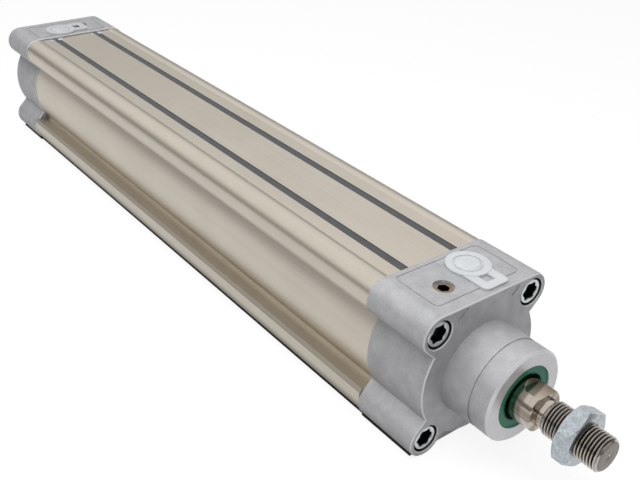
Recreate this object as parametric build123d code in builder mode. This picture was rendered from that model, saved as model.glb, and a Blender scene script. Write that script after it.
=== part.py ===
from build123d import *
import os

# Pneumatic profile cylinder, bore 63, with adjustable end cushioning and the rod drawn in.
# Millimetres. +X points out of the rod end, +Z is up through the air ports, and the origin
# is the centre of the front cap's mounting face.

# Cylinder
bore = 63.0
stroke = 320.0
piston_length = 33.5
end_gap = 0.75
insert_length = 8.0
screw_pitch = 56.5
front_cap_length = 36.0
rear_cap_length = 34.0
boss_radius = 9.25
cap_bulge = 69.0

# Clearances
running = 0.05
slack = 0.1
free_gap = 0.3

# Front collar and rear spigot
collar_diameter = 45.0
collar_length = 26.0
collar_root = 46.4
collar_neck_start = 15.0
collar_neck_width = 1.5
collar_neck_depth = 0.5
collar_chamfer = 1.1
spigot_length = 4.0
spigot_recess = 30.0

# Cap details
cap_edge = 0.6
foot_setback = 3.0
foot_width = 68.4
foot_thickness = 1.2
panel_width = 51.0
panel_setback = 6.0
panel_corner = 3.0
panel_line = 0.6
panel_line_depth = 0.3
collar_screw_chamfer = 0.6
joint_edge = 0.4
mark_width = 1.1
mark_depth = 0.4
mark_height = 33.6
long_mark = 7.5
long_mark_offset = -15.6
short_mark = 5.4
short_mark_offset = 16.6

# Air ports, G 3/8
front_port_setback = 22.0
front_port_offset = 9.0
rear_port_setback = 22.5
rear_port_offset = 6.0
port_thread = 14.95
port_depth = 12.0
port_passage = 9.0

# Collar screws with a female M8 thread
screw_head = 12.2
screw_counterbore = 13.5
screw_seat_depth = 22.0
screw_recess = 0.8
screw_shank = 8.0
screw_shank_hole = 8.8
screw_grip = 20.0
screw_tap = 6.8
screw_tap_depth = 17.0

# Barrel profile
barrel_inset = 0.5
barrel_top_drop = 1.0
lower_flat_top = -23.0
lower_facet_y = 35.8
lower_facet_z = -21.0
bead_offset = 26.9
bead_radius = 0.5
rail_inner = 44.0
rail_height = 1.0
slot_offset = 15.3
slot_mouth = 4.0
slot_lip = 1.4
slot_inner = 6.6
slot_depth = 5.0
slot_edge = 0.35
cover_sink = 0.3
cover_clip = 1.2
entry_width = 8.0
entry_length = 4.5
entry_depth = 0.6

# Cushion chambers and seals in the caps
chamber = 31.0
chamber_floor = 14.0
cushion_seal_outer = 36.4
cushion_seal_width = 5.0
cushion_seal_setback = 1.5
ring_section = 2.7
ring_setback = 2.2

# Rod bearing and wiper in the collar
bush_outer = 25.0
bush_shoulder = 2.0
bush_setback = 1.0
rod_way = 23.0
wiper_outer = 31.0
wiper_seat_depth = 9.0
wiper_sink = 0.6
wiper_mouth = 22.8
wiper_lip_depth = 3.4
wiper_lip_edge = 0.9

# Cushion screws
needle_setback = 16.0
needle_offset = 12.0
needle_head = 8.8
needle_head_length = 5.0
needle_sink = 0.8
needle_shank = 6.0
needle_length = 11.5
needle_tip = 2.0
needle_passage = 2.4
needle_mouth = 9.8
needle_mouth_depth = 1.0
needle_socket = 5.0
needle_socket_depth = 3.0
needle_ring = 1.2
needle_ring_setback = 2.2

# Piston
piston_clearance = 0.6
band_width = 10.0
band_thickness = 1.5
lip_width = 6.0
lip_setback = 2.2
lip_depth = 6.0
lip_groove = 2.0
magnet_outer = 55.0
magnet_inner = 42.0
magnet_length = 4.0
buffer_outer = 44.0
buffer_inner = 36.0
buffer_length = 2.4
stud_diameter = 14.0
stud_length = 16.0
cushion_diameter = 28.0
cushion_length = 22.0
cushion_chamfer = 2.0
rod_ring = 2.4
rod_ring_setback = 6.0

# Piston rod and nut
rod_diameter = 20.0
rod_reach = 37.0
thread_diameter = 16.0
thread_length = 32.0
relief_diameter = 13.6
relief_length = 3.5
flat_across = 17.0
flat_length = 10.5
flat_cutter = 12.0
rod_edge = 0.5
thread_edge = 1.3
centre_hole = 1.8
centre_hole_depth = 3.0
centre_sink = 2.9
nut_across = 24.0
nut_thickness = 8.0
nut_setback = 10.5
nut_crown = 22.8

# Transport plugs in the air ports
plug_disc = 20.8
plug_disc_height = 1.2
plug_groove_outer = 14.0
plug_groove_width = 0.5
plug_groove_depth = 0.3
plug_dome_height = 0.6
plug_stem_length = 9.0
plug_stem_bore = 11.0
tab_width = 15.0
tab_reach = 19.5
tab_thickness = 1.0
tab_corner = 2.6
tab_shift = 1.5
tab_hole = 5.2
tab_hole_reach = 12.5

# Worked out from the sizes above
bore_radius = bore / 2
half_pitch = screw_pitch / 2
half_square = half_pitch + boss_radius
boss_reach = half_pitch * 2**0.5
barrel_length = stroke + piston_length + 2 * (insert_length + end_gap)
body_length = front_cap_length + barrel_length + rear_cap_length
barrel_top = half_square - barrel_top_drop
barrel_side = half_square - barrel_inset
barrel_front = -front_cap_length
insert_radius = bore_radius - slack
ring_radius = bore_radius - running - ring_section / 2
chamber_radius = chamber / 2
cushion_radius = cushion_diameter / 2
bush_back = bush_shoulder - chamber_floor
bush_front = collar_length - wiper_seat_depth - bush_setback
piston_radius = bore_radius - piston_clearance
piston_back = -body_length + rear_cap_length + insert_length + end_gap
piston_front = piston_back + piston_length
rod_radius = rod_diameter / 2
stud_radius = stud_diameter / 2
thread_end = rod_reach + thread_length

# Each end has its own frame: X across the cylinder, Y up and Z out of the cap's face.
faces = {
    "front": Plane(origin=(0, 0, 0), x_dir=(0, 1, 0), z_dir=(1, 0, 0)),
    "rear": Plane(origin=(-body_length, 0, 0), x_dir=(0, -1, 0), z_dir=(-1, 0, 0)),
}
cap_lengths = {"front": front_cap_length, "rear": rear_cap_length}
ports = {"front": (front_port_offset, front_port_setback), "rear": (rear_port_offset, rear_port_setback)}
tab_directions = {"front": (1, 0, 0), "rear": (0, 1, 0)}
tab_shifts = {"front": -tab_shift, "rear": tab_shift}


def top_plane(face, across, setback, height, x_dir=(1, 0, 0)):
    """A level plane at a height above the axis, at a place on one cap."""
    spot = face.from_local_coords((across, height, -setback))
    return Plane(origin=spot, x_dir=x_dir, z_dir=(0, 0, 1))


def ring_solid(centre_plane, major, minor):
    """An O-ring about the plane's normal, inside the part that is being built."""
    with Locations(centre_plane):
        Torus(major, minor)


os.makedirs("parts", exist_ok=True)

# Barrel: one extrusion with a round bore, four screw channels and two sensor slots on top
with BuildPart() as barrel:
    with BuildSketch(faces["front"].offset(barrel_front)):
        with PolarLocations(boss_reach / 2, 4, start_angle=45):
            SlotCenterToCenter(boss_reach, 2 * (boss_radius - barrel_inset))
        # A level ledge cuts the lower bosses where they meet the round sides
        for side in (-1, 1):
            with Locations((side * half_pitch, lower_facet_z)):
                Rectangle(
                    2 * boss_radius,
                    boss_radius,
                    align=(Align.CENTER, Align.MIN),
                    mode=Mode.SUBTRACT,
                )
        Circle(cap_bulge / 2 - barrel_inset)
        # The flat top lies a little below the corner bosses
        Rectangle(screw_pitch, barrel_top, align=(Align.CENTER, Align.MIN))
        for side in (-1, 1):
            with BuildLine():
                Polyline(
                    (side * half_pitch, lower_facet_z),
                    (side * lower_facet_y, lower_facet_z),
                    (side * barrel_side, lower_flat_top),
                    (side * barrel_side, -half_pitch),
                    (side * half_pitch, -half_pitch),
                    close=True,
                )
            make_face()
            with Locations((side * bead_offset, lower_facet_z)):
                Circle(bead_radius)
        # The underside is filled level between two low rails that run out to a thin ledge
        with Locations((0, -barrel_side)):
            Rectangle(screw_pitch, barrel_side, align=(Align.CENTER, Align.MIN))
            Rectangle(foot_width - 2 * barrel_inset, foot_thickness, align=(Align.CENTER, Align.MIN))
            Rectangle(rail_inner, rail_height, align=(Align.CENTER, Align.MIN), mode=Mode.SUBTRACT)
        Circle(bore_radius, mode=Mode.SUBTRACT)
        with GridLocations(screw_pitch, screw_pitch, 2, 2):
            Circle(screw_shank / 2 + running, mode=Mode.SUBTRACT)
        for side in (-1, 1):
            with Locations((side * slot_offset, barrel_top)):
                Rectangle(slot_mouth, slot_depth, align=(Align.CENTER, Align.MAX), mode=Mode.SUBTRACT)
            with Locations((side * slot_offset, barrel_top - slot_lip)):
                Rectangle(
                    slot_inner,
                    slot_depth - slot_lip,
                    align=(Align.CENTER, Align.MAX),
                    mode=Mode.SUBTRACT,
                )
            with Locations((side * slot_offset, barrel_top)):
                Trapezoid(
                    slot_mouth + 2 * slot_edge,
                    slot_edge,
                    135,
                    align=(Align.CENTER, Align.MAX),
                    mode=Mode.SUBTRACT,
                )
    extrude(amount=-barrel_length)
    # The slots widen at the rear end, where a sensor goes in
    with BuildSketch(Plane.XY.offset(barrel_top)):
        for side in (-1, 1):
            with Locations((barrel_front - barrel_length, side * slot_offset)):
                Rectangle(entry_length, entry_width, align=(Align.MIN, Align.CENTER))
    extrude(amount=-entry_depth, mode=Mode.SUBTRACT)
barrel.part.label = "barrel_profile"
export_step(barrel.part, "parts/barrel_profile.step")

# Strips that close the two sensor slots
for side, place in ((-1, "left"), (1, "right")):
    with BuildPart() as cover:
        with BuildSketch(faces["front"].offset(barrel_front)):
            with Locations((side * slot_offset, barrel_top - cover_sink)):
                Rectangle(slot_mouth - 2 * slack, slot_lip, align=(Align.CENTER, Align.MAX))
            with Locations((side * slot_offset, barrel_top - slot_lip - slack)):
                Rectangle(slot_inner - 2 * slack, cover_clip, align=(Align.CENTER, Align.MAX))
        extrude(amount=entry_length - barrel_length)
    cover.part.label = f"slot_cover_{place}"
    export_step(cover.part, f"parts/slot_cover_{place}.step")

# Die-cast end caps, the same section at both ends
for end, face in faces.items():
    length = cap_lengths[end]
    joint = face.offset(-length)
    inner = joint.offset(-insert_length)
    outward = Axis(face.origin, face.z_dir)
    with BuildPart() as cap:
        with BuildSketch(face):
            Circle(cap_bulge / 2)
            with PolarLocations(boss_reach / 2, 4, start_angle=45):
                SlotCenterToCenter(boss_reach, 2 * boss_radius)
            Rectangle(screw_pitch, half_square, align=(Align.CENTER, Align.MIN))
        extrude(amount=-length)
        chamfer(cap.faces().sort_by(outward)[-1].edges(), cap_edge)
        chamfer(cap.faces().sort_by(outward)[0].edges(), joint_edge)

        # The underside is flat behind a short relief, with a thin ledge along each corner
        with BuildSketch(face.offset(-foot_setback)):
            with Locations((0, -half_square)):
                Rectangle(screw_pitch, half_square, align=(Align.CENTER, Align.MIN))
                Rectangle(foot_width, foot_thickness, align=(Align.CENTER, Align.MIN))
        extrude(amount=foot_setback - length)

        # The insert that centres and seals the barrel
        with BuildSketch(joint):
            Circle(insert_radius)
        extrude(amount=-insert_length)
        with BuildSketch(joint.offset(-ring_setback)):
            Circle(bore_radius)
            Circle(ring_radius - ring_section / 2 - running, mode=Mode.SUBTRACT)
        extrude(amount=-(ring_section + 2 * slack), mode=Mode.SUBTRACT)

        if end == "front":
            # Centring collar: a drafted root, a fine groove and the turned land
            land_radius = collar_diameter / 2
            land_start = collar_neck_start + collar_neck_width
            with BuildSketch(Plane.XZ):
                with BuildLine():
                    Polyline(
                        (-cap_edge, 0),
                        (-cap_edge, collar_root / 2),
                        (0, collar_root / 2),
                        (collar_neck_start, land_radius),
                        (collar_neck_start, land_radius - collar_neck_depth),
                        (land_start, land_radius - collar_neck_depth),
                        (land_start, land_radius),
                        (collar_length - collar_chamfer, land_radius),
                        (collar_length, land_radius - collar_chamfer),
                        (collar_length, 0),
                        close=True,
                    )
                make_face()
            revolve(axis=Axis.X)
            # Seats for the wiper and the bush, and the way through for the rod
            with BuildSketch(face.offset(collar_length)):
                Circle(wiper_outer / 2)
            extrude(amount=-wiper_seat_depth, mode=Mode.SUBTRACT)
            with BuildSketch(face.offset(bush_back)):
                Circle(bush_outer / 2)
            extrude(amount=collar_length - bush_back, mode=Mode.SUBTRACT)
            with BuildSketch(inner):
                Circle(rod_way / 2)
            extrude(amount=length + insert_length, mode=Mode.SUBTRACT)
        else:
            with BuildSketch(face):
                Circle(collar_diameter / 2)
                Circle(spigot_recess / 2, mode=Mode.SUBTRACT)
            extrude(amount=spigot_length)
            rim = cap.faces().sort_by(outward)[-1].edges().sort_by(SortBy.RADIUS)[-1]
            chamfer(rim, collar_chamfer / 2)

        # Cushion chamber, open towards the piston, with the groove for its seal
        with BuildSketch(inner):
            Circle(chamber_radius)
        extrude(amount=length + insert_length - chamber_floor, mode=Mode.SUBTRACT)
        with BuildSketch(inner.offset(cushion_seal_setback)):
            Circle(cushion_seal_outer / 2)
        extrude(amount=cushion_seal_width, mode=Mode.SUBTRACT)

        # Fine line round a panel on top, then the air port and the cushion screw's bore
        port_offset, port_setback = ports[end]
        panel_length = length - 2 * panel_setback + panel_corner
        with BuildSketch(top_plane(face, 0, panel_setback + panel_length / 2, half_square)):
            RectangleRounded(panel_length, panel_width, panel_corner)
            RectangleRounded(
                panel_length - 2 * panel_line,
                panel_width - 2 * panel_line,
                panel_corner - panel_line,
                mode=Mode.SUBTRACT,
            )
        extrude(amount=-panel_line_depth, mode=Mode.SUBTRACT)
        with BuildSketch(top_plane(face, port_offset, port_setback, half_square)):
            Circle(port_thread / 2)
        extrude(amount=-port_depth, mode=Mode.SUBTRACT)
        with BuildSketch(top_plane(face, port_offset, port_setback, half_square)):
            Circle(port_passage / 2)
        extrude(amount=-half_square, mode=Mode.SUBTRACT)
        needle_top = top_plane(face, -needle_offset, needle_setback, half_square)
        with BuildSketch(needle_top):
            Circle(needle_head / 2 + running)
        extrude(amount=-needle_sink - needle_length - slack, mode=Mode.SUBTRACT)
        with BuildSketch(needle_top):
            Circle(needle_mouth / 2)
        extrude(amount=-needle_mouth_depth, mode=Mode.SUBTRACT)
        with BuildSketch(needle_top):
            Circle(needle_passage / 2)
        extrude(amount=-half_square, mode=Mode.SUBTRACT)

        # Shallow casting marks beside the upper screws
        with BuildSketch(face):
            for offset, mark in ((long_mark_offset, long_mark), (short_mark_offset, short_mark)):
                with Locations((offset, mark_height)):
                    SlotOverall(mark, mark_width, rotation=45)
        extrude(amount=-mark_depth, mode=Mode.SUBTRACT)

        # Stepped holes for the collar screws
        with Locations(face):
            with GridLocations(screw_pitch, screw_pitch, 2, 2):
                CounterBoreHole(
                    radius=screw_shank_hole / 2,
                    counter_bore_radius=screw_counterbore / 2,
                    counter_bore_depth=screw_seat_depth,
                    depth=length + insert_length,
                )
        mouths = (
            cap.edges()
            .filter_by(GeomType.CIRCLE)
            .filter_by(lambda edge: abs(edge.radius - screw_counterbore / 2) < running)
            .group_by(outward)[-1]
        )
        chamfer(mouths, collar_screw_chamfer)
    cap.part.label = f"{end}_cap"
    export_step(cap.part, f"parts/{end}_cap.step")

    # Collar screws: each head holds a female thread, each shank grips the barrel
    with BuildPart() as screws:
        with Locations(face.offset(-screw_recess)):
            with GridLocations(screw_pitch, screw_pitch, 2, 2):
                Cylinder(
                    screw_head / 2,
                    screw_seat_depth - screw_recess,
                    align=(Align.CENTER, Align.CENTER, Align.MAX),
                )
                Cylinder(
                    screw_shank / 2,
                    length + screw_grip - screw_recess,
                    align=(Align.CENTER, Align.CENTER, Align.MAX),
                )
                Hole(screw_tap / 2, screw_tap_depth)
    screws.part.label = f"{end}_cap_screws"
    export_step(screws.part, f"parts/{end}_cap_screws.step")

    # Static ring between the insert and the bore
    with BuildPart() as cap_ring:
        ring_solid(joint.offset(-ring_setback - ring_section / 2 - slack), ring_radius, ring_section / 2)
    cap_ring.part.label = f"{end}_cap_ring"
    export_step(cap_ring.part, f"parts/{end}_cap_ring.step")

    # Cushion seal, a lipped ring held in its groove
    with BuildPart() as cushion_seal:
        with BuildSketch(inner.offset(cushion_seal_setback + slack)):
            Circle(cushion_seal_outer / 2 - slack)
            Circle(cushion_radius + slack, mode=Mode.SUBTRACT)
        extrude(amount=cushion_seal_width - 2 * slack)
    cushion_seal.part.label = f"{end}_cushion_seal"
    export_step(cushion_seal.part, f"parts/{end}_cushion_seal.step")

    # Cushion screw: head with a hexagon socket, ring groove, shank and needle tip
    needle_head_plane = needle_top.offset(-needle_sink)
    groove_floor = needle_head / 2 - needle_ring
    with BuildPart() as needle:
        with BuildSketch(needle_head_plane):
            Circle(needle_head / 2)
        extrude(amount=-needle_head_length)
        with BuildSketch(needle_head_plane.offset(-needle_ring_setback)):
            Circle(needle_head)
            Circle(groove_floor, mode=Mode.SUBTRACT)
        extrude(amount=-needle_ring - 2 * slack, mode=Mode.SUBTRACT)
        with BuildSketch(needle_head_plane):
            Circle(needle_shank / 2)
        extrude(amount=needle_tip - needle_length)
        chamfer(needle.faces().sort_by(Axis.Z)[0].edges(), needle_tip / 2)
        with BuildSketch(needle_head_plane):
            RegularPolygon(needle_socket / 2, 6, major_radius=False)
        extrude(amount=-needle_socket_depth, mode=Mode.SUBTRACT)
    needle.part.label = f"{end}_cushion_screw"
    export_step(needle.part, f"parts/{end}_cushion_screw.step")

    with BuildPart() as needle_seal:
        ring_plane = needle_head_plane.offset(-needle_ring_setback - needle_ring / 2 - slack)
        ring_solid(
            ring_plane,
            groove_floor + running + needle_ring / 2 - running / 2,
            needle_ring / 2 - running / 2,
        )
    needle_seal.part.label = f"{end}_cushion_screw_ring"
    export_step(needle_seal.part, f"parts/{end}_cushion_screw_ring.step")

    # Transport plug: a stem in the port, a domed disc on the cap and a pull tab
    plug_top = top_plane(face, port_offset, port_setback, half_square, tab_directions[end])
    with BuildPart() as plug:
        with BuildSketch(plug_top):
            Circle(plug_disc / 2)
        extrude(amount=plug_disc_height)
        with BuildSketch(plug_top):
            with Locations((0, tab_shifts[end])):
                RectangleRounded(tab_reach, tab_width, tab_corner, align=(Align.MIN, Align.CENTER))
            with Locations((tab_hole_reach, tab_shifts[end])):
                Rectangle(tab_hole, tab_hole, mode=Mode.SUBTRACT)
        extrude(amount=tab_thickness)
        with BuildSketch(plug_top.offset(plug_disc_height)):
            Circle(plug_groove_outer / 2)
            Circle(plug_groove_outer / 2 - plug_groove_width, mode=Mode.SUBTRACT)
        extrude(amount=-plug_groove_depth, mode=Mode.SUBTRACT)
        with BuildSketch(plug_top.offset(plug_disc_height)):
            Circle(plug_groove_outer / 2 - 2 * plug_groove_width)
        extrude(amount=plug_dome_height, taper=60)
        with BuildSketch(plug_top):
            Circle(port_thread / 2 - running)
        extrude(amount=-plug_stem_length)
        with BuildSketch(plug_top.offset(-plug_stem_length)):
            Circle(plug_stem_bore / 2)
        extrude(amount=plug_stem_length - plug_disc_height / 2, mode=Mode.SUBTRACT)
    plug.part.label = f"{end}_port_plug"
    export_step(plug.part, f"parts/{end}_port_plug.step")

# Rod bearing bush in the collar
with BuildPart() as bush:
    with BuildSketch(faces["front"].offset(bush_back)):
        Circle(bush_outer / 2 - running / 2)
        Circle(rod_radius + running, mode=Mode.SUBTRACT)
    extrude(amount=bush_front - bush_back)
    chamfer(bush.edges().filter_by(GeomType.CIRCLE), slack)
bush.part.label = "rod_bearing_bush"
export_step(bush.part, "parts/rod_bearing_bush.step")

# Wiper and rod seal in one moulding, with its lip set back behind an open mouth
wiper_front = collar_length - wiper_sink
wiper_back = collar_length - wiper_seat_depth + running
with BuildPart() as wiper:
    with BuildSketch(Plane.XZ):
        with BuildLine():
            Polyline(
                (wiper_back, rod_radius + running),
                (wiper_back, wiper_outer / 2 - running),
                (wiper_front, wiper_outer / 2 - running),
                (wiper_front, wiper_mouth / 2),
                (wiper_front - wiper_lip_depth, rod_radius + running + wiper_lip_edge),
                (wiper_front - wiper_lip_depth, rod_radius + running),
                close=True,
            )
        make_face()
    revolve(axis=Axis.X)
wiper.part.label = "rod_wiper_seal"
export_step(wiper.part, "parts/rod_wiper_seal.step")

# Piston rod: stud, rod, wrench flats, thread relief and the thread's outer cylinder
with BuildPart() as rod:
    with BuildSketch(Plane.XZ):
        with BuildLine():
            Polyline(
                (piston_back - stud_length, 0),
                (piston_back - stud_length, stud_radius),
                (piston_front, stud_radius),
                (piston_front, rod_radius),
                (rod_reach - rod_edge, rod_radius),
                (rod_reach, rod_radius - rod_edge),
                (rod_reach, relief_diameter / 2),
                (rod_reach + relief_length, relief_diameter / 2),
                (rod_reach + relief_length, thread_diameter / 2),
                (thread_end - thread_edge, thread_diameter / 2),
                (thread_end, thread_diameter / 2 - thread_edge),
                (thread_end, 0),
                close=True,
            )
        make_face()
    revolve(axis=Axis.X)
    # Wrench flats above and below, run out by the round of the cutter
    with BuildSketch(Plane.XY.offset(flat_across / 2)):
        with Locations((rod_reach - flat_length + flat_cutter / 2, 0)):
            Circle(flat_cutter / 2)
            Rectangle(flat_length, flat_cutter, align=(Align.MIN, Align.CENTER))
    cutter = extrude(amount=rod_radius, mode=Mode.SUBTRACT)
    mirror(cutter, about=Plane.XY, mode=Mode.SUBTRACT)
    with Locations(faces["front"].offset(thread_end)):
        CounterSinkHole(centre_hole / 2, centre_sink / 2, centre_hole_depth)
rod.part.label = "piston_rod"
export_step(rod.part, "parts/piston_rod.step")

# Jam nut on the rod's thread
with BuildPart() as nut:
    nut_face = faces["front"].offset(thread_end - nut_setback)
    with BuildSketch(nut_face):
        RegularPolygon(nut_across / 2, 6, major_radius=False, rotation=30)
        Circle(thread_diameter / 2 + running, mode=Mode.SUBTRACT)
    extrude(amount=-nut_thickness)
    # Both faces are crowned at 30 degrees
    with BuildSketch(Plane.XZ):
        with BuildLine():
            nut_front = thread_end - nut_setback
            corner_radius = nut_across / 3**0.5
            fall = (corner_radius - nut_crown / 2) / 3**0.5
            Polyline(
                (nut_front, 0),
                (nut_front, nut_crown / 2),
                (nut_front - fall, corner_radius),
                (nut_front - nut_thickness + fall, corner_radius),
                (nut_front - nut_thickness, nut_crown / 2),
                (nut_front - nut_thickness, 0),
                close=True,
            )
        make_face()
    revolve(axis=Axis.X, mode=Mode.INTERSECT)
nut.part.label = "rod_nut"
export_step(nut.part, "parts/rod_nut.step")

# Piston halves, clamped together on the rod's stud and meeting under the guide band
band_outer = bore_radius - running
band_inner = band_outer - band_thickness
split = piston_back + piston_length / 2
band_half_groove = band_width / 2 + 2 * slack
magnet_back = split - magnet_length - 2 * slack
for half, back, front, outer_face in (
    ("rear", piston_back, split, piston_back),
    ("front", split, piston_front, piston_front),
):
    towards = 1 if half == "rear" else -1
    rim = outer_face + towards * lip_setback
    with BuildPart() as piston:
        with BuildSketch(Plane.YZ.offset(back)):
            Circle(piston_radius)
            Circle(stud_radius + running, mode=Mode.SUBTRACT)
        extrude(amount=front - back)
        with BuildSketch(Plane.YZ.offset(split)):
            Circle(bore_radius)
            Circle(band_inner - running, mode=Mode.SUBTRACT)
        extrude(amount=band_half_groove, both=True, mode=Mode.SUBTRACT)
        with BuildSketch(Plane.YZ.offset(rim)):
            Circle(bore_radius)
            Circle(bore_radius - lip_depth, mode=Mode.SUBTRACT)
        extrude(amount=towards * (lip_width + 2 * slack), mode=Mode.SUBTRACT)
        with BuildSketch(Plane.YZ.offset(outer_face)):
            Circle(buffer_outer / 2)
            Circle(buffer_inner / 2, mode=Mode.SUBTRACT)
        extrude(amount=towards * (buffer_length - end_gap + free_gap), mode=Mode.SUBTRACT)
        if half == "rear":
            with BuildSketch(Plane.YZ.offset(split)):
                Circle(magnet_outer / 2 + slack)
                Circle(magnet_inner / 2 - slack, mode=Mode.SUBTRACT)
            extrude(amount=magnet_back - split, mode=Mode.SUBTRACT)
        else:
            with BuildSketch(Plane.YZ.offset(piston_front - rod_ring_setback)):
                Circle(stud_radius + rod_ring + slack)
            extrude(amount=-(rod_ring + 2 * slack), mode=Mode.SUBTRACT)
    piston.part.label = f"piston_{half}_half"
    export_step(piston.part, f"parts/piston_{half}_half.step")

    # Lip seal with a groove in the side that faces the air
    with BuildPart() as lip_seal:
        with BuildSketch(Plane.YZ.offset(rim + towards * slack)):
            Circle(bore_radius - running)
            Circle(bore_radius - lip_depth + running, mode=Mode.SUBTRACT)
        extrude(amount=towards * lip_width)
        with BuildSketch(Plane.YZ.offset(rim + towards * slack)):
            Circle(bore_radius - lip_groove)
            Circle(bore_radius - 2 * lip_groove, mode=Mode.SUBTRACT)
        extrude(amount=towards * lip_width / 2, mode=Mode.SUBTRACT)
    lip_seal.part.label = f"piston_{half}_lip_seal"
    export_step(lip_seal.part, f"parts/piston_{half}_lip_seal.step")

    # Rubber buffer that meets the cap just before the piston does
    with BuildPart() as end_buffer:
        with BuildSketch(Plane.YZ.offset(outer_face - towards * (end_gap - free_gap))):
            Circle(buffer_outer / 2 - slack)
            Circle(buffer_inner / 2 + slack, mode=Mode.SUBTRACT)
        extrude(amount=towards * buffer_length)
    end_buffer.part.label = f"piston_{half}_buffer"
    export_step(end_buffer.part, f"parts/piston_{half}_buffer.step")

# Guide band that carries the piston in the bore, magnet ring and the stud's static ring
with BuildPart() as band:
    with BuildSketch(Plane.YZ.offset(split - band_width / 2)):
        Circle(band_outer)
        Circle(band_inner, mode=Mode.SUBTRACT)
    extrude(amount=band_width)
band.part.label = "piston_guide_band"
export_step(band.part, "parts/piston_guide_band.step")

with BuildPart() as magnet:
    with BuildSketch(Plane.YZ.offset(split - magnet_length - slack)):
        Circle(magnet_outer / 2)
        Circle(magnet_inner / 2, mode=Mode.SUBTRACT)
    extrude(amount=magnet_length)
magnet.part.label = "piston_magnet"
export_step(magnet.part, "parts/piston_magnet.step")

with BuildPart() as stud_ring:
    centre = piston_front - rod_ring_setback - rod_ring / 2 - slack
    ring_solid(Plane.YZ.offset(centre), stud_radius + running + rod_ring / 2, rod_ring / 2)
stud_ring.part.label = "piston_stud_ring"
export_step(stud_ring.part, "parts/piston_stud_ring.step")

# Cushion sleeve on the rod, and the cushion nose that screws onto the stud behind the piston
with BuildPart() as sleeve:
    with BuildSketch(Plane.YZ.offset(piston_front)):
        Circle(cushion_radius)
    extrude(amount=cushion_length)
    chamfer(sleeve.faces().sort_by(Axis.X)[-1].edges(), cushion_chamfer)
    with BuildSketch(Plane.YZ.offset(piston_front)):
        Circle(rod_radius + running)
    extrude(amount=cushion_length, mode=Mode.SUBTRACT)
sleeve.part.label = "front_cushion_sleeve"
export_step(sleeve.part, "parts/front_cushion_sleeve.step")

with BuildPart() as nose:
    with BuildSketch(Plane.YZ.offset(piston_back)):
        Circle(cushion_radius)
    extrude(amount=-cushion_length)
    chamfer(nose.faces().sort_by(Axis.X)[0].edges(), cushion_chamfer)
    with BuildSketch(Plane.YZ.offset(piston_back)):
        Circle(stud_radius + running)
    extrude(amount=-(stud_length + free_gap), mode=Mode.SUBTRACT)
nose.part.label = "rear_cushion_nose"
export_step(nose.part, "parts/rear_cushion_nose.step")
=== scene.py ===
import logging
import math
from dataclasses import dataclass, field
from enum import Enum

import bmesh
import bpy
from bmesh.types import BMesh, BMVert
from bpy.types import ID, Material, Node, NodeSocket, NodeTree, Object, World
from mathutils import Matrix, Vector

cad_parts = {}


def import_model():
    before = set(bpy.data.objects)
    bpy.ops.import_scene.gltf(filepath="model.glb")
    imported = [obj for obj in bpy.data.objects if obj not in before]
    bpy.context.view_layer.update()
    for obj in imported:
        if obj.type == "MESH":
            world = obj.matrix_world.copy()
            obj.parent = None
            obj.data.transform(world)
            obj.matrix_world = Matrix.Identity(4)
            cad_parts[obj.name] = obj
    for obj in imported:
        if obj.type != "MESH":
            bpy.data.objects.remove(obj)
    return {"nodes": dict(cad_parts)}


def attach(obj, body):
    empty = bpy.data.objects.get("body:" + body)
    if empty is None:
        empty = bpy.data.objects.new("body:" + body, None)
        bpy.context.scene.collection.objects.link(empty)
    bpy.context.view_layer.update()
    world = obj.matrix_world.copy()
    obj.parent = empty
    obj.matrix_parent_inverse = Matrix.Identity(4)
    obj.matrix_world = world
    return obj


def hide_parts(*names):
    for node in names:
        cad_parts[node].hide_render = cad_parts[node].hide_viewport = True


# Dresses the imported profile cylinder. Lengths are metres in the CAD frame: +X leaves the
# rod end, +Z is up, and the origin is the centre of the front cap's mounting face.
# A Span is a low and a high value, a Change is the middle of a change of tone and its width.

LOG = logging.getLogger("profile_cylinder")
Point = tuple[float, float, float]
Colour = tuple[float, float, float]
Span = tuple[float, float]
Change = tuple[float, float]
Value = NodeSocket | float | tuple[float, ...] | None
Ring = list[BMVert]
Materials = dict[str, Material]

WHITE = (1.0, 1.0, 1.0, 1.0)

# Widths of a change of tone, from the finest to the softest
HAIR = 0.00006
SHARP = 0.0001
CLEAN = 0.0002
SOFT = 0.0003

# Depths that the bump of metals and plastics stands for, and rays that round an edge
METAL_RELIEF = 0.0001
PLASTIC_RELIEF = 0.00008
BEVEL_SAMPLES = 3

# Vertices closer than MERGE are one, and a radius under ON_AXIS is a single vertex
MERGE = 1e-6
ON_AXIS = 1e-7

# Lobes round the socket of a collar screw
LOBES = 6


class Grain(Enum):
    """How the fine marks of a finish run over the surface."""

    BLASTED = "blasted"
    DRAWN = "drawn"
    TURNED = "turned"


class End(Enum):
    """The two ends of the cylinder, with the x of each mounting face and the way it looks."""

    FRONT = (0.0, 1)
    REAR = (-0.441, -1)

    @property
    def face(self) -> float:
        """The x of the mounting face."""
        return self.value[0]

    @property
    def outward(self) -> int:
        """1 where the face looks along +X, -1 where it looks along -X."""
        return self.value[1]

    @property
    def word(self) -> str:
        """The end's name as the CAD nodes spell it."""
        return self.name.lower()


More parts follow.
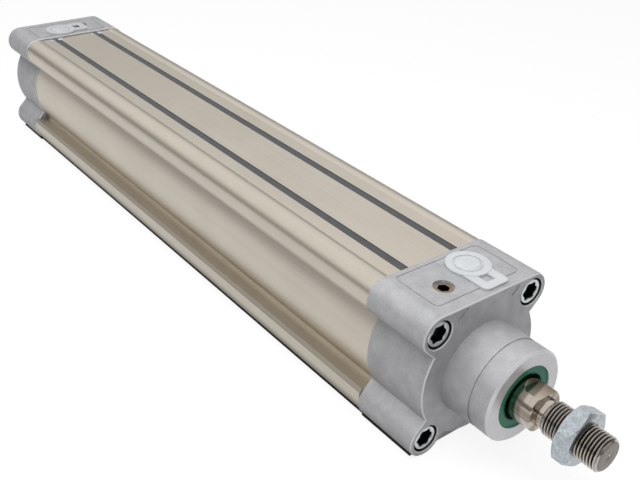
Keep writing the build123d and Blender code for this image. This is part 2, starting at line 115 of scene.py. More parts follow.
class Sheet:
    """A short way to lay out nodes in one node tree."""

    # Places of the two colours and of the mixed colour on a Mix node
    MIX_COLOURS = (6, 7)
    MIX_RESULT = 2

    def __init__(self, tree: NodeTree) -> None:
        """Starts on the tree that receives the nodes."""
        self.tree = tree

    def add(self, kind: str, *inputs: Value, **settings: str | int) -> Node:
        """Adds a node, sets its properties and fills its first inputs.

        Args:
            kind: the node's type name.
            *inputs: a value, a socket to link from, or None to skip, in socket order.
            **settings: properties of the node.

        Returns:
            The new node.
        """
        node = self.tree.nodes.new(kind)
        for name, value in settings.items():
            setattr(node, name, value)
        for place, value in enumerate(inputs):
            self.feed(node.inputs[place], value)
        return node

    def feed(self, socket: NodeSocket, value: Value) -> None:
        """Links a socket or sets its value.

        Args:
            socket: the input socket.
            value: a socket to link from, a plain value, or None to leave it.
        """
        if isinstance(value, NodeSocket):
            self.tree.links.new(value, socket)
        elif value is not None:
            socket.default_value = value

    def math(self, operation: str, *inputs: Value) -> NodeSocket:
        """Returns the result of a Math node with this operation and these operands."""
        return self.add("ShaderNodeMath", *inputs, operation=operation).outputs[0]

    def object_place(self) -> NodeSocket:
        """Returns the shaded point in the piece's own coordinates."""
        return self.add("ShaderNodeTexCoord").outputs["Object"]

    def split(self, vector: NodeSocket) -> tuple[NodeSocket, ...]:
        """Returns the x, y and z of a vector."""
        return tuple(self.add("ShaderNodeSeparateXYZ", vector).outputs)

    def spread(self, value: Value, low: float, high: float) -> NodeSocket:
        """Returns a value from 0 to 1 spread over the range from low to high."""
        return self.math("MULTIPLY_ADD", value, high - low, low)

    def average(self, first: Value, second: Value, share: float) -> NodeSocket:
        """Returns the mean of two values, where the first has this share of the weight."""
        rest = self.math("MULTIPLY", second, 1.0 - share)
        return self.math("ADD", self.math("MULTIPLY", first, share), rest)

    def step(self, value: Value, edge: float, width: float) -> NodeSocket:
        """Rises from 0 to 1 across an edge.

        Args:
            value: the socket to test.
            edge: the middle of the rise.
            width: its width.

        Returns:
            A socket from 0 to 1.
        """
        low, high = edge - width / 2, edge + width / 2
        return self.add("ShaderNodeMapRange", value, low, high, 0.0, 1.0).outputs[0]

    def invert(self, value: Value) -> NodeSocket:
        """Returns 1 for 0 and 0 for 1."""
        return self.math("SUBTRACT", 1.0, value)

    def band(self, value: Value, low: float, high: float, width: float) -> NodeSocket:
        """Is 1 between two edges and 0 beyond them.

        Args:
            value: the socket to test.
            low: the lower edge.
            high: the upper edge.
            width: how softly the band ends.

        Returns:
            A socket from 0 to 1.
        """
        return self.math("SUBTRACT", self.step(value, low, width), self.step(value, high, width))

    def length(self, first: Value, second: Value) -> NodeSocket:
        """Returns the length of a flat vector with these two components."""
        squares = [self.math("MULTIPLY", side, side) for side in (first, second)]
        return self.math("SQRT", self.math("ADD", *squares))

    def noise(self, place: NodeSocket, scale: float, detail: float,
              rough: float = 0.5) -> NodeSocket:
        """Adds a Noise texture.

        Args:
            place: the coordinate socket.
            scale: cells per metre.
            detail: octaves.
            rough: weight of the fine octaves.

        Returns:
            The noise value socket.
        """
        return self.add("ShaderNodeTexNoise", place, None, scale, detail, rough).outputs[0]

    def stripes(self, value: NodeSocket, scale: float, detail: float) -> NodeSocket:
        """Returns noise that changes along one value only, with cells per unit as its scale."""
        kind = "ShaderNodeTexNoise"
        return self.add(kind, None, value, scale, detail, noise_dimensions="1D").outputs[0]

    def blend(self, factor: NodeSocket, first: Value, second: Value) -> NodeSocket:
        """Mixes two colours.

        Args:
            factor: 0 for the first, 1 for the second.
            first: a colour or socket.
            second: a colour or socket.

        Returns:
            The mixed colour socket.
        """
        node = self.add("ShaderNodeMix", factor, data_type="RGBA")
        for place, colour in zip(self.MIX_COLOURS, (first, second)):
            self.feed(node.inputs[place], opaque(colour))
        return node.outputs[self.MIX_RESULT]

    def mix(self, factor: NodeSocket, first: Node, second: Node) -> Node:
        """Mixes two shaders.

        Args:
            factor: 0 for the first, 1 for the second.
            first: a shader node.
            second: a shader node.

        Returns:
            The mixing node.
        """
        return self.add("ShaderNodeMixShader", factor, first.outputs[0], second.outputs[0])


def opaque(colour: Value) -> Value:
    """Gives a plain colour its alpha.

    Args:
        colour: three numbers, or a socket that is passed on as it is.

    Returns:
        Four numbers or the socket.
    """
    return (*colour, 1.0) if isinstance(colour, tuple) else colour


def grey(level: float) -> tuple[float, ...]:
    """Returns an opaque grey."""
    return opaque((level, level, level))


def blank_tree(owner: Material | World) -> NodeTree:
    """Clears the nodes of a material or world.

    Args:
        owner: what holds the nodes.

    Returns:
        Its empty tree.
    """
    owner.use_nodes = True
    owner.node_tree.nodes.clear()
    return owner.node_tree


class Surface(Sheet):
    """The nodes of one material, with the colour and roughness laid so far."""

    def __init__(self, material: Material) -> None:
        """Starts with a bare shader and the shaded point in the piece's own coordinates.

        Args:
            material: the material, whose nodes are cleared.
        """
        super().__init__(blank_tree(material))
        self.shader = self.add("ShaderNodeBsdfPrincipled")
        self.place = self.object_place()
        self.x, self.y, self.z = self.split(self.place)
        self.colour: Value = None
        self.rough: Value = None

    def cover(self, part: NodeSocket, colour: Value) -> None:
        """Lays a colour over part of the colour so far.

        Args:
            part: 1 where the new colour shows.
            colour: the new colour.
        """
        self.colour = self.blend(part, self.colour, colour)

    def facing(self, axis: int) -> NodeSocket:
        """Returns 1 where a face looks along an axis, either way, and 0 where it runs along it."""
        normal = self.add("ShaderNodeNewGeometry").outputs["True Normal"]
        return self.math("ABSOLUTE", self.split(normal)[axis])

    def relief(self, height: NodeSocket, bump: float, depth: float, edge: float) -> None:
        """Gives the shader a fine relief and softly rounded edges.

        Args:
            height: the relief, from 0 to 1.
            bump: its strength.
            depth: its depth in metres.
            edge: the radius of the edges.
        """
        rounded = self.add("ShaderNodeBevel", edge, samples=BEVEL_SAMPLES)
        relief = self.add("ShaderNodeBump", bump, depth)
        self.feed(relief.inputs["Height"], height)
        self.feed(relief.inputs["Normal"], rounded.outputs[0])
        self.feed(self.shader.inputs["Normal"], relief.outputs[0])

    def close(self) -> None:
        """Links what was laid to the shader, and the shader to the output."""
        self.feed(self.shader.inputs["Base Color"], self.colour)
        self.feed(self.shader.inputs["Roughness"], self.rough)
        self.add("ShaderNodeOutputMaterial", self.shader.outputs[0])


@dataclass(frozen=True)
class Finish:
    """A material that runs between a colour and a darker shade."""

    name: str
    colour: Colour
    shade: Colour

    def dress(self, surface: Surface) -> None:
        """Lays the nodes.

        Args:
            surface: the material's surface.
        """
        raise NotImplementedError

    def build(self) -> Material:
        """Returns the finished material."""
        material = bpy.data.materials.new(self.name)
        surface = Surface(material)
        self.dress(surface)
        surface.close()
        return material


@dataclass(frozen=True)
class MetalFinish(Finish):
    """A bare or plated metal whose fine marks are blasted, drawn along the cylinder or turned."""

    roughness: Span
    grain: Grain
    grain_scale: float
    bump: float
    cloud_scale: float = 60.0
    edge: float = 0.0003
    metallic: float = 1.0
    contrast: float = 0.5
    grain_share: float = 0.6
    drawn_stretch: float = 0.004

    def grain_place(self, surface: Surface) -> NodeSocket:
        """Lays the coordinates that the grain follows.

        Args:
            surface: the material's surface.

        Returns:
            A vector socket in metres, stretched along the grain.
        """
        if self.grain is Grain.DRAWN:
            stretch = (self.drawn_stretch, 1.0, 1.0)
            return surface.add("ShaderNodeMapping", surface.place, None, None, stretch).outputs[0]
        if self.grain is Grain.TURNED:
            radius = surface.length(surface.y, surface.z)
            return surface.add("ShaderNodeCombineXYZ", surface.x, radius).outputs[0]
        return surface.place

    def dress(self, surface: Surface) -> None:
        """Lays the grain, the cloudy tone and the relief.

        Args:
            surface: the material's surface.
        """
        grain = surface.noise(self.grain_place(surface), self.grain_scale, 3.0, 0.6)
        cloud = surface.noise(surface.place, self.cloud_scale, 2.0)
        tone = surface.step(surface.average(grain, cloud, self.grain_share), 0.5, self.contrast)
        bright, dull = self.roughness
        surface.colour = surface.blend(tone, self.shade, self.colour)
        surface.rough = surface.spread(tone, dull, bright)
        surface.shader.inputs["Metallic"].default_value = self.metallic
        surface.relief(grain, self.bump, METAL_RELIEF, self.edge)


@dataclass(frozen=True)
class PaintedFootShade:
    """Painted shade: a dark line along the thin ledges on which the cylinder stands, where their
    undersides are in shadow.
    """

    colour: Colour = (0.035, 0.035, 0.032)
    height: float = -0.0355
    reach: float = 0.0320

    def lay(self, surface: Surface) -> None:
        """Paints the shade over the ledges.

        Args:
            surface: the material's surface.
        """
        # Painted shade: low down and far out to the sides, the colour turns dark
        low = surface.invert(surface.step(surface.z, self.height, SOFT))
        out = surface.step(surface.math("ABSOLUTE", surface.y), self.reach, SOFT)
        surface.cover(surface.math("MULTIPLY", low, out), self.colour)


@dataclass(frozen=True)
class ExtrusionFinish(MetalFinish):
    """Anodised extrusion, with painted shade in the slot mouths and along the bottom ledges, and
    bare machined patches at the slots' ends whose bluish white is partly a painted reflection.
    """

    milled_colour_and_reflection: Colour = (0.80, 0.85, 0.95)
    milled_from: float = -0.40255
    milled_across: Span = (0.0112, 0.0194)
    milled_heights: Span = (0.0310, 0.03645)
    slot_mouth_shade: Colour = (0.10, 0.105, 0.11)
    slot_across: Span = (0.01293, 0.01767)
    slot_level: float = 0.03646
    # Painted shade along the bottom ledges of the extrusion
    foot_shade: PaintedFootShade = PaintedFootShade(height=-0.0338, reach=0.0300)

    def dress(self, surface: Surface) -> None:
        """Adds the painted shade in the slot mouths, the machined patches with their partly painted
        reflection and the painted shade along the bottom ledges.

        Args:
            surface: the material's surface.
        """
        super().dress(surface)
        side = surface.math("ABSOLUTE", surface.y)
        # Painted shade in the gap between each slot's mouth and its cover strip
        mouth = surface.band(side, *self.slot_across, HAIR)
        sunk = surface.invert(surface.step(surface.z, self.slot_level, HAIR))
        surface.cover(surface.math("MULTIPLY", mouth, sunk), self.slot_mouth_shade)
        # The machined patches at the slots' rear ends are bare metal and made non-metallic; their
        # bluish white is partly a painted reflection of the caps
        end = surface.invert(surface.step(surface.x, self.milled_from, SHARP))
        across = surface.band(side, *self.milled_across, SHARP)
        deep = surface.band(surface.z, *self.milled_heights, SHARP)
        patch = surface.math("MULTIPLY", end, surface.math("MULTIPLY", across, deep))
        surface.cover(patch, self.milled_colour_and_reflection)
        bare = surface.math("SUBTRACT", self.metallic, patch)
        surface.feed(surface.shader.inputs["Metallic"], bare)
        self.foot_shade.lay(surface)


@dataclass(frozen=True)
class CastCapFinish(MetalFinish):
    """Blasted die-cast aluminium with a turned collar, painted highlights on its chamfers, and
    painted shade in the screw wells, along the bottom ledges and under the rear tab's hole.
    """

    turned: tuple[Colour, Colour] = ((0.78, 0.78, 0.80), (0.92, 0.92, 0.94))
    turned_faces: Span = (-0.4412, 0.0248)
    turned_gloss: float = -0.14
    turning_scale: float = 5200.0
    speck_scale: float = 1900.0
    speck_contrast: float = 0.35
    turned_contrast: float = 0.7
    chamfer_highlight: Colour = (0.82, 0.82, 0.82)
    chamfer_highlight_slopes: Span = (0.6, 0.8)
    chamfer_highlight_softness: float = 0.02
    casting: Span = (-0.4412, 0.0002)
    painted_shade: Colour = (0.030, 0.032, 0.034)
    well_radius: float = 0.00695
    screw_offset: float = 0.02825
    tab_shade_spot: tuple[float, float] = (-0.4185, 0.0065)
    tab_shade_reach: float = 0.0036
    # Painted shade along the bottom ledges of the caps
    foot_shade: PaintedFootShade = PaintedFootShade()

    def turn_ends(self, surface: Surface) -> None:
        """Covers the collar and the spigot with turning marks.

        Args:
            surface: the material's surface.
        """
        turned = surface.invert(surface.band(surface.x, *self.turned_faces, CLEAN))
        marks = surface.stripes(surface.x, self.turning_scale, 1.0)
        speck = surface.noise(surface.place, self.speck_scale, 2.0)
        speck = surface.step(speck, 0.5, self.speck_contrast)
        tone = surface.step(surface.average(marks, speck, 0.5), 0.5, self.turned_contrast)
        surface.cover(turned, surface.blend(tone, *self.turned))
        smoother = surface.math("MULTIPLY", turned, self.turned_gloss)
        surface.rough = surface.math("ADD", surface.rough, smoother)

    def dress(self, surface: Surface) -> None:
        """Adds the turned ends, the painted chamfer highlights, and the painted shade along the
        bottom ledges, in the screw wells and under the rear tab's hole.

        Args:
            surface: the material's surface.
        """
        super().dress(surface)
        self.turn_ends(surface)
        # Painted highlight: the casting's chamfers, which face partly along X, get a bright colour
        chamfer = surface.band(surface.facing(0), *self.chamfer_highlight_slopes, self.chamfer_highlight_softness)
        on_casting = surface.band(surface.x, *self.casting, CLEAN)
        surface.cover(surface.math("MULTIPLY", chamfer, on_casting), self.chamfer_highlight)
        self.foot_shade.lay(surface)
        # Painted shade in the gaps round the screw heads, within the wells' radius of each screw
        away = [surface.math("SUBTRACT", surface.math("ABSOLUTE", side), self.screw_offset)
                for side in (surface.y, surface.z)]
        outside = surface.step(surface.length(*away), self.well_radius, CLEAN)
        surface.colour = surface.blend(outside, self.painted_shade, surface.colour)
        # Painted shade on the cap under the rear tab's hole
        aside = [surface.math("ABSOLUTE", surface.math("SUBTRACT", side, middle))
                 for side, middle in zip((surface.x, surface.y), self.tab_shade_spot)]
        beyond = surface.step(surface.math("MAXIMUM", *aside), self.tab_shade_reach, SOFT)
        surface.colour = surface.blend(beyond, self.painted_shade, surface.colour)


@dataclass(frozen=True)
class RodFinish(MetalFinish):
    """Ground steel bar with painted reflections: soft dark brown bands along it, and on the
    machined wrench flats a tone from light to dark brown.
    """

    reflection_band: Colour = (0.24, 0.19, 0.145)
    reflection_bands_round: float = 1.5
    reflection_band_level: Change = (0.54, 0.10)
    reflection_band_share: float = 0.75
    flats: tuple[Colour, Colour] = ((0.52, 0.46, 0.39), (0.20, 0.155, 0.11))
    flat_reach: float = 0.0052
    flat_start: float = 0.026
    flat_slope: Change = (0.9995, 0.0004)

    def dress(self, surface: Surface) -> None:
        """Adds the painted reflection bands and the painted reflection on the wrench flats.

        Args:
            surface: the material's surface.
        """
        super().dress(surface)
        # Painted reflections: dark brown bands that vary round the axis and run along the bar
        way = surface.math("ARCTAN2", surface.z, surface.y)
        reflection_bands = surface.step(surface.stripes(way, self.reflection_bands_round, 2.0), *self.reflection_band_level)
        surface.cover(surface.math("MULTIPLY", reflection_bands, self.reflection_band_share), self.reflection_band)
        # Painted reflection on the wrench flats, from light on the -Y side to dark brown on the +Y
        # side
        upright = surface.step(surface.facing(2), *self.flat_slope)
        front = surface.step(surface.x, self.flat_start, CLEAN)
        across = surface.step(surface.y, 0.0, 2 * self.flat_reach)
        flat = surface.blend(across, *self.flats)
        surface.cover(surface.math("MULTIPLY", upright, front), flat)


@dataclass(frozen=True)
class ThreadFinish(MetalFinish):
    """Cut steel thread with painted shade in its roots and a warmer, duller end face."""

    root_shade: Colour = (0.030, 0.023, 0.017)
    root_radius: float = 0.00752
    root_softness: float = 0.0005
    thread_start: float = 0.0412
    end_colour: Colour = (0.27, 0.25, 0.225)
    end_face: float = 0.06885
    end_bevel: float = 0.0008
    end_softness: float = 0.0004
    end_dullness: float = 0.16

    def dress(self, surface: Surface) -> None:
        """Adds the painted shade in the roots and the end face.

        Args:
            surface: the material's surface.
        """
        super().dress(surface)
        # Painted shade in the thread's roots, between its start and the end face's bevel
        radius = surface.length(surface.y, surface.z)
        deep = surface.invert(surface.step(radius, self.root_radius, self.root_softness))
        last = self.end_face - self.end_bevel
        inside = surface.band(surface.x, self.thread_start, last, self.end_softness)
        surface.cover(surface.math("MULTIPLY", inside, deep), self.root_shade)
        end = surface.step(surface.x, self.end_face, SHARP)
        surface.cover(end, self.end_colour)
        surface.rough = surface.math("MULTIPLY_ADD", end, self.end_dullness, surface.rough)


@dataclass(frozen=True)
class SocketedFinish(MetalFinish):
    """A small screw's metal, with its socket in shade below the head's face."""

    inside: Colour = (0.012, 0.010, 0.008)
    inside_heights: Span = (0.0330, 0.03635)

    def dress(self, surface: Surface) -> None:
        """Adds the shade in the socket.

        Args:
            surface: the material's surface.
        """
        super().dress(surface)
        surface.cover(surface.band(surface.z, *self.inside_heights, SOFT), self.inside)


@dataclass(frozen=True)
class PlasticFinish(Finish):
    """A moulded plastic or rubber with faint flow marks and a fine skin."""

    roughness: float
    skin_scale: float = 2200.0
    bump: float = 0.15
    translucence: float = 0.0
    edge: float = 0.0003
    flow_scale: float = 130.0
    roughness_reach: float = 0.06
    light_depth: float = 0.0022

    def dress(self, surface: Surface) -> None:
        """Lays the flow marks, the skin and what light passes through.

        Args:
            surface: the material's surface.
        """
        skin = surface.noise(surface.place, self.skin_scale, 2.0)
        flow = surface.step(surface.noise(surface.place, self.flow_scale, 3.0, 0.6), 0.5, 0.5)
        smooth, dull = self.roughness - self.roughness_reach, self.roughness + self.roughness_reach
        surface.colour = surface.blend(flow, self.shade, self.colour)
        surface.rough = surface.spread(skin, smooth, dull)
        surface.relief(skin, self.bump, PLASTIC_RELIEF, self.edge)
        if self.translucence:
            inputs = surface.shader.inputs
            inputs["Subsurface Weight"].default_value = self.translucence
            inputs["Subsurface Radius"].default_value = (self.light_depth,) * 3
            inputs["Subsurface Scale"].default_value = 1.0


@dataclass(frozen=True)
class WiperFinish(PlasticFinish):
    """Green seal moulding with a thin black line round its funnel, whose darker green is painted
    shade.
    """

    line_colour: Colour = (0.006, 0.008, 0.008)
    line_radii: Span = (0.0116, 0.0119)
    funnel_shade: Colour = (0.006, 0.115, 0.068)
    reflection: float = 0.25

    def dress(self, surface: Surface) -> None:
        """Adds the black line and the painted shade in the funnel.

        Args:
            surface: the material's surface.
        """
        super().dress(surface)
        radius = surface.length(surface.y, surface.z)
        surface.cover(surface.band(radius, *self.line_radii, CLEAN), self.line_colour)
        # Painted shade in the funnel inside the black line
        funnel = surface.invert(surface.step(radius, self.line_radii[0], SOFT))
        surface.cover(funnel, self.funnel_shade)
        surface.shader.inputs["Specular IOR Level"].default_value = self.reflection


ANODISED = ExtrusionFinish(
    "anodised_extrusion", (0.68, 0.625, 0.54), (0.61, 0.555, 0.47), (0.30, 0.38),
    Grain.DRAWN, grain_scale=900.0, bump=0.10, cloud_scale=30.0, edge=0.00025)
CAST = CastCapFinish(
    "cast_aluminium", (0.60, 0.602, 0.614), (0.42, 0.423, 0.434), (0.46, 0.56),
    Grain.BLASTED, grain_scale=2300.0, bump=0.40, cloud_scale=160.0, edge=0.00015,
    metallic=0.40, contrast=0.34)
ZINC = MetalFinish(
    "zinc_screw_plating", (0.84, 0.87, 0.87), (0.56, 0.61, 0.61), (0.22, 0.34),
    Grain.BLASTED, grain_scale=2600.0, bump=0.10, cloud_scale=500.0, edge=0.0002)
NUT_ZINC = MetalFinish(
    "zinc_nut_plating", (0.66, 0.71, 0.75), (0.34, 0.38, 0.41), (0.24, 0.38),
    Grain.BLASTED, grain_scale=1300.0, bump=0.16, cloud_scale=500.0, contrast=0.36)
# Painted shade: the dark material inside the collar screws' sockets
SOCKET_SHADE = MetalFinish(
    "shaded_socket", (0.13, 0.165, 0.165), (0.04, 0.055, 0.055), (0.30, 0.42),
    Grain.TURNED, grain_scale=2600.0, bump=0.10, cloud_scale=500.0, edge=0.0001)
ROD_STEEL = RodFinish(
    "polished_rod_steel", (0.62, 0.57, 0.51), (0.42, 0.365, 0.30), (0.10, 0.17),
    Grain.TURNED, grain_scale=1100.0, bump=0.03, cloud_scale=120.0, edge=0.0002)
THREAD_STEEL = ThreadFinish(
    "cut_thread_steel", (0.72, 0.68, 0.63), (0.50, 0.46, 0.41), (0.16, 0.26),
    Grain.TURNED, grain_scale=2600.0, bump=0.08, cloud_scale=400.0, edge=0.0001)
BRONZE_SCREW = SocketedFinish(
    "bronze_adjusting_screw", (0.40, 0.31, 0.22), (0.20, 0.155, 0.11), (0.26, 0.36),
    Grain.BLASTED, grain_scale=1500.0, bump=0.10, cloud_scale=700.0, edge=0.0002)
BUSH_BRONZE = MetalFinish(
    "sintered_bush", (0.48, 0.32, 0.18), (0.38, 0.25, 0.14), (0.35, 0.45),
    Grain.BLASTED, grain_scale=3000.0, bump=0.2, cloud_scale=300.0)
PISTON_ALLOY = MetalFinish(
    "turned_piston_alloy", (0.60, 0.61, 0.62), (0.50, 0.51, 0.52), (0.28, 0.36),
    Grain.TURNED, grain_scale=1800.0, bump=0.12, cloud_scale=100.0)
COVER = PlasticFinish("slot_cover_strip", (0.085, 0.088, 0.092), (0.065, 0.067, 0.071), 0.52)
WIPER = WiperFinish("green_wiper", (0.012, 0.300, 0.165), (0.008, 0.240, 0.130), 0.34)
RUBBER = PlasticFinish("black_rubber", (0.020, 0.020, 0.021), (0.014, 0.014, 0.015), 0.55)
PLUG = PlasticFinish(
    "white_plug_plastic", (0.71, 0.735, 0.75), (0.65, 0.675, 0.69), 0.34,
    skin_scale=900.0, bump=0.08, translucence=0.25)
MAGNET = PlasticFinish("bonded_magnet", (0.055, 0.052, 0.050), (0.040, 0.038, 0.036), 0.60)
BAND = PlasticFinish("guide_band_plastic", (0.10, 0.16, 0.13), (0.08, 0.13, 0.11), 0.45)
FINISHES = (ANODISED, CAST, ZINC, NUT_ZINC, SOCKET_SHADE, ROD_STEEL, THREAD_STEEL, BRONZE_SCREW,
            BUSH_BRONZE, PISTON_ALLOY, COVER, WIPER, RUBBER, PLUG, MAGNET, BAND)


def finished_object(name: str, mesh: BMesh, material: Material,
                    crease: float = 32.0) -> Object:
    """Turns a bmesh into a shaded object at the origin.

    Args:
        name: the piece's name.
        mesh: its bmesh, which is freed.
        material: its finish.
        crease: the angle, in degrees, past which an edge stays sharp.

    Returns:
        The new object, linked to the scene.
    """
    bmesh.ops.remove_doubles(mesh, verts=mesh.verts, dist=MERGE)
    bmesh.ops.recalc_face_normals(mesh, faces=mesh.faces)
    data = bpy.data.meshes.new(name)
    mesh.to_mesh(data)
    mesh.free()
    # Normals kept from the CAD mesh would mark the wrong edges as sharp
    if "custom_normal" in data.attributes:
        data.attributes.remove(data.attributes["custom_normal"])
    data.materials.append(material)
    data.shade_smooth()
    data.set_sharp_from_angle(angle=math.radians(crease))
    return linked_object(name, data)


def linked_object(name: str, data: ID) -> Object:
    """Makes an object in the scene.

    Args:
        name: its name.
        data: its mesh, lamp or camera.

    Returns:
        The object.
    """
    made = bpy.data.objects.new(name, data)
    bpy.context.scene.collection.objects.link(made)
    return made


def add_ring(mesh: BMesh, x: float, radius: float, segments: int, lobe: float = 0.0) -> Ring:
    """Adds a ring of vertices round X, or one vertex where the radius is 0.

    Args:
        mesh: the bmesh that receives it.
        x: its place.
        radius: its mean radius.
        segments: the number of vertices.
        lobe: how far its lobes pass the mean radius.

    Returns:
        The vertices in order.
    """
    if radius < ON_AXIS:
        return [mesh.verts.new((x, 0.0, 0.0))]
    ring = []
    for number in range(segments):
        turn = 2 * math.pi * number / segments
        reach = radius + lobe * math.cos(LOBES * turn)
        ring.append(mesh.verts.new((x, reach * math.cos(turn), reach * math.sin(turn))))
    return ring


def join_rings(mesh: BMesh, rings: list[Ring], segments: int) -> None:
    """Joins neighbouring rings of vertices with faces.

    Args:
        mesh: the bmesh that holds them.
        rings: rings of equal count, or of one vertex at a pole.
        segments: vertices in a full ring.
    """
    for near, far in zip(rings, rings[1:]):
        for here in range(segments):
            after = (here + 1) % segments
            corners = [near[here % len(near)], near[after % len(near)],
                       far[after % len(far)], far[here % len(far)]]
            unique = list(dict.fromkeys(corners))
            if len(unique) > 2:
                mesh.faces.new(unique)


def lathe(mesh: BMesh, profile: list[Span], segments: int) -> None:
    """Adds a surface of revolution about X, closed where the profile meets the axis.

    Args:
        mesh: the bmesh that receives it.
        profile: points of (x, radius).
        segments: faces around.
    """
    rings = [add_ring(mesh, x, radius, segments) for x, radius in profile]
    join_rings(mesh, rings, segments)


def apply_nodes(carrier: Object, tree: NodeTree,
                values: dict[str, float | Material], name: str) -> Object:
    """Runs a geometry tree on an object and keeps the result as a plain mesh.

    Args:
        carrier: the object that the tree starts from, which is removed.
        tree: the geometry tree.
        values: a value for each named input.
        name: the name of the new piece.

    Returns:
        The new object.
    """
    modifier = carrier.modifiers.new("shape", "NODES")
    modifier.node_group = tree
    for socket in tree.interface.items_tree:
        if socket.in_out == "INPUT" and socket.name in values:
            modifier[socket.identifier] = values[socket.name]
    bpy.context.view_layer.update()
    evaluated = carrier.evaluated_get(bpy.context.evaluated_depsgraph_get())
    data = bpy.data.meshes.new_from_object(evaluated)
    carrier.modifiers.remove(modifier)
    bpy.data.objects.remove(carrier)
    data.name = name
    return linked_object(name, data)


def new_tree(name: str, inputs: dict[str, str]) -> tuple[Sheet, Node]:
    """Starts a geometry tree with named inputs.

    Args:
        name: the tree's name.
        inputs: the socket type of each named input.

    Returns:
        The tree's sheet and its Group Input node.
    """
    tree = bpy.data.node_groups.new(name, "GeometryNodeTree")
    tree.interface.new_socket("Geometry", in_out="INPUT", socket_type="NodeSocketGeometry")
    for label, kind in inputs.items():
        tree.interface.new_socket(label, in_out="INPUT", socket_type=kind)
    tree.interface.new_socket("Geometry", in_out="OUTPUT", socket_type="NodeSocketGeometry")
    sheet = Sheet(tree)
    return sheet, sheet.add("NodeGroupInput")


def end_tree(sheet: Sheet, given: Node, shape: Node) -> NodeTree:
    """Ends a geometry tree with real geometry in the given material.

    Args:
        sheet: the tree's sheet.
        given: its Group Input node.
        shape: the node that gives the shape.

    Returns:
        The finished tree.
    """
    real = sheet.add("GeometryNodeRealizeInstances", shape.outputs[0])
    painted = sheet.add("GeometryNodeSetMaterial", real.outputs[0])
    sheet.feed(painted.inputs["Material"], given.outputs["Material"])
    sheet.add("NodeGroupOutput", painted.outputs[0])
    return sheet.tree


@dataclass
class Thread:
    """The cut thread on the rod's end, from the relief to the end face with its centre hole."""

    start: float = 0.0405
    end: float = 0.069
    major: float = 0.008
    pitch: float = 0.0015
    depth: float = 0.00092
    flank: Span = (0.14, 0.86)
    relief: float = 0.0068
    back_step: float = 0.0005
    end_radius: float = 0.0067
    sink_radius: float = 0.00145
    hole_radius: float = 0.0009
    hole_depth: float = 0.003
    around: int = 96
    per_turn: int = 12
    seam: float = 2e-6
    crease: float = 50.0

    def tree(self) -> NodeTree:
        """Builds the tree that wraps a grid into a helical thread.

        Returns:
            The geometry tree.
        """
        lengths = ("Start", "Length", "Major", "Pitch", "Depth", "Relief", "End")
        kinds = {label: "NodeSocketFloat" for label in lengths}
        kinds.update({"Rows": "NodeSocketInt", "Around": "NodeSocketInt",
                      "Material": "NodeSocketMaterial"})
        sheet, given = new_tree("helical_thread", kinds)
        sockets = [given.outputs[label] for label in lengths]
        start, length, major, pitch, depth, relief, end = sockets
        grid = sheet.add("GeometryNodeMeshGrid", length, 2 * math.pi,
                         given.outputs["Rows"], given.outputs["Around"])
        across, turn, _ = sheet.split(sheet.add("GeometryNodeInputPosition").outputs[0])
        along = sheet.math("ADD", across, sheet.math("MULTIPLY", length, 0.5))
        x = sheet.math("ADD", along, start)
        behind = sheet.math("DIVIDE", turn, 2 * math.pi)
        turns = sheet.math("SUBTRACT", sheet.math("DIVIDE", x, pitch), behind)
        phase = sheet.math("FRACT", turns)
        height = sheet.math("ABSOLUTE", sheet.math("MULTIPLY_ADD", phase, 2.0, -1.0))
        cut = sheet.add("ShaderNodeMapRange", height, *self.flank, 0.0, 1.0).outputs[0]
        radius = sheet.math("SUBTRACT", major, sheet.math("MULTIPLY", cut, depth))
        start_bevel = sheet.math("ADD", relief, along)
        end_bevel = sheet.math("ADD", end, sheet.math("SUBTRACT", length, along))
        bevel = sheet.math("MINIMUM", start_bevel, end_bevel)
        radius = sheet.math("MINIMUM", radius, bevel)
        y = sheet.math("MULTIPLY", radius, sheet.math("COSINE", turn))
        z = sheet.math("MULTIPLY", radius, sheet.math("SINE", turn))
        wrapped = sheet.add("GeometryNodeSetPosition", grid.outputs[0])
        wrapped_place = sheet.add("ShaderNodeCombineXYZ", x, y, z)
        sheet.feed(wrapped.inputs["Position"], wrapped_place.outputs[0])
        closed = sheet.add("GeometryNodeMergeByDistance", wrapped.outputs[0])
        closed.inputs["Distance"].default_value = self.seam
        return end_tree(sheet, given, closed)

    def build(self, material: Material) -> Object:
        """Makes the threaded end with its end face.

        Args:
            material: its finish.

        Returns:
            The piece.
        """
        length = self.end - self.start
        carrier = linked_object("thread_carrier", bpy.data.meshes.new("thread_carrier"))
        values = {"Start": self.start, "Length": length, "Major": self.major,
                  "Pitch": self.pitch, "Depth": self.depth, "Relief": self.relief,
                  "End": self.end_radius, "Rows": round(length / self.pitch * self.per_turn) + 1,
                  "Around": self.around + 1, "Material": material}
        turned = apply_nodes(carrier, self.tree(), values, "thread_turns")
        mesh = bmesh.new()
        mesh.from_mesh(turned.data)
        bpy.data.objects.remove(turned)
        # The end's first ring and the back's first ring lie on the thread's open rims, vertex
        # by vertex, so the merge in finished_object closes both ends
        hole_floor = self.end - self.hole_depth
        end_profile = [
            (self.end, self.end_radius),
            (self.end, self.sink_radius),
            (self.end - (self.sink_radius - self.hole_radius), self.hole_radius),
            (hole_floor, self.hole_radius),
            (hole_floor - self.hole_radius / 2, 0.0),
        ]
        back = self.start - self.back_step
        lathe(mesh, end_profile, self.around)
        lathe(mesh, [(self.start, self.relief), (back, self.relief), (back, 0.0)], self.around)
        return finished_object("rod_thread_turns", mesh, material, self.crease)


